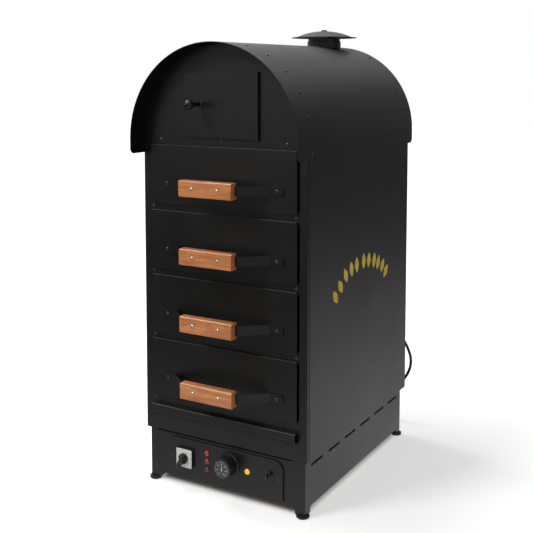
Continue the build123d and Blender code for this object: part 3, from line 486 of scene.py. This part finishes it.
def screwSeats(node):  # centre, axis, radius and rise of each head in a CAD node of screws
    mesh = bmesh.new()
    mesh.from_mesh(nodes[node].data)
    bmesh.ops.remove_doubles(mesh, verts=mesh.verts, dist=screwLook["weld"])
    seats = []
    for group in looseParts(mesh):
        flats = {}
        for face in {face for vertex in group for face in vertex.link_faces}:
            key = tuple(round(part, 2) + 0.0 for part in face.normal)
            key += (round(face.normal.dot(face.calc_center_median()), 4),)
            flats.setdefault(key, []).append(face)
        seat = max(flats.values(), key=lambda faces: sum(face.calc_area() for face in faces))
        axis = -seat[0].normal.normalized()
        rim = [vertex.co for vertex in {vertex for face in seat for vertex in face.verts}]
        low = Vector(min(place[i] for place in rim) for i in range(3))
        high = Vector(max(place[i] for place in rim) for i in range(3))
        centre = (low + high) / 2
        radius = max((place - centre).length for place in rim)
        rise = max((vertex.co - centre).dot(axis) for vertex in group)
        seats.append((centre, axis, radius, rise))
    mesh.free()
    return sorted(seats, key=lambda seat: tuple(round(part, 4) for part in seat[0]))


def crossHead(points, faces, centre, axis, radius, rise):  # a domed head, closed by a flat foot
    grid = screwLook["grid"]
    marks = [-mark for mark in reversed(grid[1:])] + list(grid)
    size = len(marks)
    turn = dice.uniform(0, math.pi / 2)
    side = axis.orthogonal().normalized()
    across = (side * math.cos(turn) + axis.cross(side) * math.sin(turn)).normalized()
    along = axis.cross(across)
    first = len(points)
    for u in marks:
        for v in marks:
            x, y = u * math.sqrt(1 - v * v / 2), v * math.sqrt(1 - u * u / 2)  # square onto disc
            lift = 1 - (1 - screwLook["rim"]) * (x * x + y * y)
            near, far = sorted((abs(u), abs(v)))
            if near < screwLook["armHalf"] and far < screwLook["armReach"]:
                lift -= screwLook["recess"] * (1 - screwLook["slope"] * far)
            points.append(centre + (across * x + along * y) * radius + axis * (rise * lift))
    for i in range(size - 1):
        for j in range(size - 1):
            corner = first + i * size + j
            faces.append((corner, corner + size, corner + size + 1, corner + 1))
    last = size - 1
    edge = [i * size for i in range(size)] + [last * size + j for j in range(1, size)]
    edge += [i * size + last for i in range(last - 1, -1, -1)] + list(range(last - 1, 0, -1))
    foot, count = len(points), len(edge)
    for index in edge:
        flat = points[first + index] - centre
        points.append(centre + flat - axis * flat.dot(axis))
    for k, index in enumerate(edge):
        after = (k + 1) % count
        faces.append((first + index, foot + k, foot + after, first + edge[after]))
    faces.append(tuple(range(foot, foot + count)))


def screwHeads(name, node, body, materials, choose):
    points, faces, kinds = [], [], []
    for seat in screwSeats(node):
        crossHead(points, faces, *seat)
        kinds += [choose(seat[0])] * (len(faces) - len(kinds))
    piece = addMesh(name, points, faces, materials, body)
    for polygon, kind in zip(piece.data.polygons, kinds):
        polygon.material_index = kind
    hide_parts(node)


screwHeads("casingScrewHeads", "casing_screws", "cabinet",
           [paint["blackenedScrew"]], lambda place: 0)
for i in drawers:
    screwHeads(f"drawerScrewHeads{i}", f"drawer_{i}_screws", f"drawer_{i}",
               [paint["brightScrewSteel"], paint["blackenedScrew"]],
               lambda place: int(abs(place.x) > screwLook["gripReach"] * mm))
print("screws in")


# markings and ornament
def lettersMesh(entries, size, thick):  # text, centre and height of each mark, facing forward
    points, faces = [], []
    for text, centre in entries:
        curve = bpy.data.curves.new("mark", "FONT")
        curve.body = text
        curve.size = size
        curve.extrude = thick / 2
        curve.resolution_u = 3
        curve.align_x = "CENTER"
        curve.align_y = "CENTER"
        holder = bpy.data.objects.new("mark", curve)
        mesh = bpy.data.meshes.new_from_object(holder)
        first = len(points)
        points += [centre + rightward * vertex.co.x + upward * vertex.co.y + forward * vertex.co.z
                   for vertex in mesh.vertices]
        faces += [tuple(first + k for k in polygon.vertices) for polygon in mesh.polygons]
        bpy.data.objects.remove(holder)
        bpy.data.curves.remove(curve)
        bpy.data.meshes.remove(mesh)
    return points, faces


def slab(points, faces, outline, lift):  # a flat shape, outlined anticlockwise seen from outside
    first, count = len(points), len(outline)
    points += [place + lift for place in outline] + list(outline)
    faces.append(tuple(range(first, first + count)))
    faces.append(tuple(range(first + 2 * count - 1, first + count - 1, -1)))
    for k in range(count):
        after = (k + 1) % count
        faces.append((first + k, first + count + k, first + count + after, first + after))


def ray(degrees):  # a direction on the front, counted anticlockwise from the right
    angle = math.radians(degrees)
    return rightward * math.cos(angle) + upward * math.sin(angle)


dialLook = {
    "ticks": 36, "sweep": 300.0, "outer": 18.2, "short": 1.6, "long": 3.0, "every": 6,
    "width": 0.45, "longWider": 1.5, "ring": 11.6, "numbers": 4.092, "step": 50, "thick": 0.12,
    "pointer": ((-1.6, -4.5), (1.6, -4.5), (0.9, 5.5), (0, 7.5), (-0.9, 5.5)),
}


def dialMarks():  # a ring of ticks, the degrees inside the long ones, and a pointer
    look = dialLook
    low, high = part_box("thermostat_dial")
    middle = Vector(((low.x + high.x) / 2, low.y, (low.z + high.z) / 2))
    thick = look["thick"] * mm
    outer = look["outer"] * mm
    points, faces, labels = [], [], []
    for k in range(look["ticks"] + 1):
        degrees = 90 + look["sweep"] / 2 - look["sweep"] * k / look["ticks"]
        way, side = ray(degrees), ray(degrees + 90)
        long = k % look["every"] == 0
        inner = outer - look["long" if long else "short"] * mm
        half = look["width"] * (look["longWider"] if long else 1) * mm / 2
        corners = [(inner, -half), (outer, -half), (outer, half), (inner, half)]
        outline = [middle + way * reach + side * aside for reach, aside in corners]
        slab(points, faces, outline, forward * thick)
        if long:
            number = str(k // look["every"] * look["step"])
            labels.append((number, middle + way * (look["ring"] * mm) + forward * thick / 2))
    lettered, cut = lettersMesh(labels, look["numbers"] * mm, thick)
    faces += [tuple(len(points) + k for k in face) for face in cut]
    points += lettered
    pointer = [middle + rightward * (x * mm) + upward * (z * mm) for x, z in look["pointer"]]
    slab(points, faces, pointer, forward * thick)
    addMesh("dialMarks", points, faces, [paint["whiteMarking"]], "thermostat_knob")


plateLook = {
    "border": 2.6, "line": 0.35, "size": 6.2, "ring": 16.2, "thick": 0.1,
    "numbers": (("0", 240), ("1", 150), ("2", 60), ("3", -30)),
}


def plateMarks():  # a thin border and the four switch places
    look = plateLook
    middle = Vector(((plateLow.x + plateHigh.x) / 2, plateLow.y, (plateLow.z + plateHigh.z) / 2))
    thick, line = look["thick"] * mm, look["line"] * mm
    out = (plateHigh.x - plateLow.x) / 2 - look["border"] * mm
    inside = out - line
    lift = forward * thick / 2
    labels = [(number, middle + ray(degrees) * (look["ring"] * mm) + lift)
              for number, degrees in look["numbers"]]
    points, faces = lettersMesh(labels, look["size"] * mm, thick)
    for x0, z0, x1, z1 in ((-out, inside, out, out), (-out, -out, out, -inside),
                           (-out, -inside, -inside, inside), (inside, -inside, out, inside)):
        corners = [(x0, z0), (x1, z0), (x1, z1), (x0, z1)]
        outline = [middle + rightward * x + upward * z for x, z in corners]
        slab(points, faces, outline, forward * thick)
    addMesh("plateMarks", points, faces, [paint["blackMarking"]])


ornament = {
    "halfWide": 11.5, "halfTall": 19.5, "power": 1.35, "corners": 28, "thick": 0.15,
    "places": ((131, 484), (158, 504), (187, 525), (219, 534.5), (250, 539.5), (291, 541.5),
               (322, 538.6), (355, 532), (381, 522), (409, 509), (431, 490)),
}


def sideOrnament():  # an arch of plain yellow lozenges on the right-hand side
    look = ornament
    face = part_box("side_panel_right")[1].x
    places = [at(0, y, z) for y, z in look["places"]]
    points, faces = [], []
    for k, place in enumerate(places):
        run = places[min(k + 1, len(places) - 1)] - places[max(k - 1, 0)]
        along = Vector((0, run.y, run.z)).normalized()
        up = rightward.cross(along)
        outline = []
        for step in range(look["corners"]):
            angle = 2 * math.pi * step / look["corners"]
            c, s = math.cos(angle), math.sin(angle)
            reach = (abs(c) ** look["power"] + abs(s) ** look["power"]) ** (-1 / look["power"]) * mm
            outline.append(Vector((face, place.y, place.z)) + along * (c * reach * look["halfWide"])
                           + up * (s * reach * look["halfTall"]))
        slab(points, faces, outline, rightward * (look["thick"] * mm))
    addMesh("sideOrnament", points, faces, [paint["yellowEnamel"]])


# a black sheet behind the plinth slots, painted shade for the shadowed inside of the plinth
slotShadeSheet = {
    "gap": 0.8, "thick": 1.0, "innerX": 215.0, "innerY": -1.5,
    "sideY": (14.0, 549.0), "sideZ": (104.0, 130.5),
    "frontX": (-202.0, 190.0), "frontZ": (119.0, 131.0),
}


def slotPaintedShade():  # a black sheet close behind the slots and the front joint of the plinth, painted shade where the inside of the plinth lies in shadow
    look = slotShadeSheet
    thick = look["thick"] * mm
    points, faces = [], []

    def strip(wide, tall, corner, lift):
        corners = [(wide[0], tall[0]), (wide[1], tall[0]), (wide[1], tall[1]), (wide[0], tall[1])]
        slab(points, faces, [corner(a, b) for a, b in corners], lift)

    for way in (-1, 1):
        x = way * (look["innerX"] - look["gap"])
        strip(look["sideY"], look["sideZ"], lambda y, z: at(x, y, z), rightward * (-way * thick))
    back = look["innerY"] + look["gap"]
    strip(look["frontX"], look["frontZ"], lambda x, z: at(x, back, z), forward * -thick)
    addMesh("slotPaintedShade", points, faces, [paint["paintedShadeBlack"]])


dialMarks()
plateMarks()
sideOrnament()
slotPaintedShade()
print("markings in")


# floor and surroundings
def rayKinds(tree):  # whether the camera, a mirror or glass looks this way
    return [addNode(tree, "ShaderNodeLightPath", out=kind)
            for kind in ("Is Camera Ray", "Is Glossy Ray", "Is Transmission Ray")]


floorLook = {
    "reach": 14.0, "depth": -0.0005, "tone": 0.82, "roughness": 0.9,
    "glow": 0.55, "glowRange": (0.9, 2.4),  # the direct view brightens to white over this distance
    "ovenMiddle": 0.282, "ovenHalfX": (0.19, 0.213), "ovenHalfY": (0.255, 0.28),
    "frontNear": 0.62, "frontFar": 0.01, "frontRange": (0.4, 2.2), "frontPower": 1.8,
    "sideNear": 0.82, "sideFar": 0.12, "sideRange": (0.4, 4.2), "sidePower": 1.7,
    "horizon": 0.22, "horizonRange": (4.5, 9.0), "turn": 0.45, "turnRange": (-0.35, 0.35),
}


def makeFloor():  # what a mirror sees of it is pale near the oven and dim past that
    look = floorLook
    reach, depth = look["reach"], look["depth"]
    corners = [(-reach, -reach, depth), (reach, -reach, depth), (reach, reach, depth),
               (-reach, reach, depth)]
    mesh = bpy.data.meshes.new("whiteFloor")
    mesh.from_pydata(corners, [], [(0, 1, 2, 3)])
    floor = newObject("whiteFloor", mesh)
    tone = (look["tone"],) * 3
    finish = Finish("whiteFloorPaint", tone, look["roughness"], Specular_IOR_Level=0.0,
                    Emission_Strength=1.0)
    direct, glossy, through = rayKinds(finish.tree)
    x, y, _ = finish.place.split()
    away = (x * x + y * y) ** 0.5
    across = abs(x).fit(*look["ovenHalfX"], 1.0, 0.0)
    along = abs(y + (midDepth - look["ovenMiddle"])).fit(*look["ovenHalfY"], 1.0, 0.0)
    clear = 1.0 - across * along  # nothing glows under the oven itself
    glow = away.fit(*look["glowRange"], look["glow"], 1.0)
    front = away.fit(*look["frontRange"], 1.0, 0.0) ** look["frontPower"]
    front = front * (look["frontNear"] - look["frontFar"]) + look["frontFar"]
    front = front + away.fit(*look["horizonRange"]) * look["horizon"]
    side = away.fit(*look["sideRange"], 1.0, 0.0) ** look["sidePower"]
    side = side * (look["sideNear"] - look["sideFar"]) + look["sideFar"]
    toSide = (x + y * look["turn"]).fit(*look["turnRange"])
    shine = front + (side - front) * toSide
    level = (direct + through) * glow * clear + glossy * shine
    finish.drive("Emission Color", greyOf(finish.tree, level))
    finish.drive("Base Color", finish.blend(glossy, tone, (0, 0, 0)))
    mesh.materials.append(finish.material)


worldLook = {
    "ambient": 0.24, "behindRange": (-0.15, 0.3),
    "horizon": 0.72, "front": 0.03, "frontRange": (0.04, 0.32),
    "backLeft": 0.75, "backLeftRange": (-0.6, -0.1),
    "back": 0.30, "backRight": 0.16, "backRightRange": (-0.1, 0.5),
    "top": 1.05, "topRange": (0.33, 0.6),
}


def makeWorld():  # white to the camera, a soft box of light and dark for what the oven reflects
    look = worldLook
    world = bpy.data.worlds.new("studioWorld")
    bpy.context.scene.world = world
    world.use_nodes = True
    tree = world.node_tree
    background = tree.nodes["Background"]
    direct, glossy, through = rayKinds(tree)
    x, y, z = addNode(tree, "ShaderNodeTexCoord", out="Generated").split()
    behind = y.fit(*look["behindRange"])
    back = x.fit(*look["backLeftRange"], look["backLeft"] - look["back"], 0.0)
    back = back + x.fit(*look["backRightRange"], look["back"], look["backRight"])
    front = z.fit(*look["frontRange"], look["horizon"], look["front"])
    above = z.fit(*look["topRange"], 0.0, look["top"])
    around = behind * back + (1.0 - behind) * front
    shine = around.maths("MAXIMUM", above)
    level = (direct + through).maths("MINIMUM", 1.0)
    other = glossy * shine + (1.0 - glossy) * look["ambient"]
    total = level + (1.0 - level) * other
    tree.links.new(greyOf(tree, total).socket, background.inputs["Color"])
    background.inputs["Strength"].default_value = 1.0


makeFloor()
makeWorld()
print("studio set")


# mains lead
lead = {
    "length": 1.8, "diameter": 8.0, "smooth": 8, "sides": 5,
    "route": ((190, 612, 255), (190, 630, 255), (194, 647, 243), (201, 657, 222), (213, 660, 188),
              (207, 660, 148), (176, 658, 104), (150, 659, 62), (128, 666, 31), (104, 676, 11),
              (80, 683, 4.4), (48, 684, 4)),
    "coilX": 30.0, "coilY": 632.0, "start": 90, "stepsPerTurn": 16,
    "turns": ((52.0, 4.0), (43.8, 4.0), (35.6, 4.0), (39.6, 11.4), (47.8, 11.4)),  # radius, height
    "moveIn": (10, 15), "climb": (8, 12),  # the steps of a turn over which it goes to the next
    "squeeze": 0.985,  # a smooth curve runs this much inside its points
    "tail": ((30, 680.0, 11.4), (18, 680.0, 11.2), (4, 680.0, 9.4)),
}


def share(value, low, high):
    return min(1.0, max(0.0, (value - low) / (high - low)))


def coilPoints():
    points = []
    turns = lead["turns"]
    for (radius, height), (nextRadius, nextHeight) in zip(turns, turns[1:] + turns[-1:]):
        for step in range(lead["stepsPerTurn"]):
            angle = math.radians(lead["start"] + 360 * step / lead["stepsPerTurn"])
            out = radius + (nextRadius - radius) * share(step, *lead["moveIn"])
            lift = height + (nextHeight - height) * share(step, *lead["climb"])
            out /= lead["squeeze"]
            points.append((lead["coilX"] + out * math.cos(angle),
                           lead["coilY"] + out * math.sin(angle), lift))
    return points


def smoothTube(name, points, radius, material):
    curve = bpy.data.curves.new(name, "CURVE")
    curve.dimensions = "3D"
    spline = curve.splines.new("NURBS")
    spline.points.add(len(points) - 1)
    for point, place in zip(spline.points, points):
        point.co = (*at(*place), 1)
        point.radius = radius * mm
    spline.order_u = 3
    spline.use_endpoint_u = True
    spline.resolution_u = lead["smooth"]
    curve.bevel_depth = 1.0  # times each point's radius, which the curve's own box counts too
    curve.bevel_resolution = lead["sides"]
    curve.use_fill_caps = True
    curve.materials.append(material)
    tube = newObject(name, curve)
    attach(tube, "cabinet")
    return tube


def curveLength(tube):  # the spline's own length, from its mesh with the bevel off
    bevel, tube.data.bevel_depth = tube.data.bevel_depth, 0
    mesh = bpy.data.meshes.new_from_object(tube)
    tube.data.bevel_depth = bevel
    line = [vertex.co for vertex in mesh.vertices]
    return sum((b - a).length for a, b in zip(line, line[1:]))


leadPoints = [*lead["route"], *coilPoints(), *lead["tail"]]
mainsLead = smoothTube("mainsLead", leadPoints, lead["diameter"] / 2, paint["cordSheath"])
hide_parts("mains_cord", "cord_coil")
print("lead measures", round(curveLength(mainsLead), 3))
tuple(at(*lead["route"][0]))
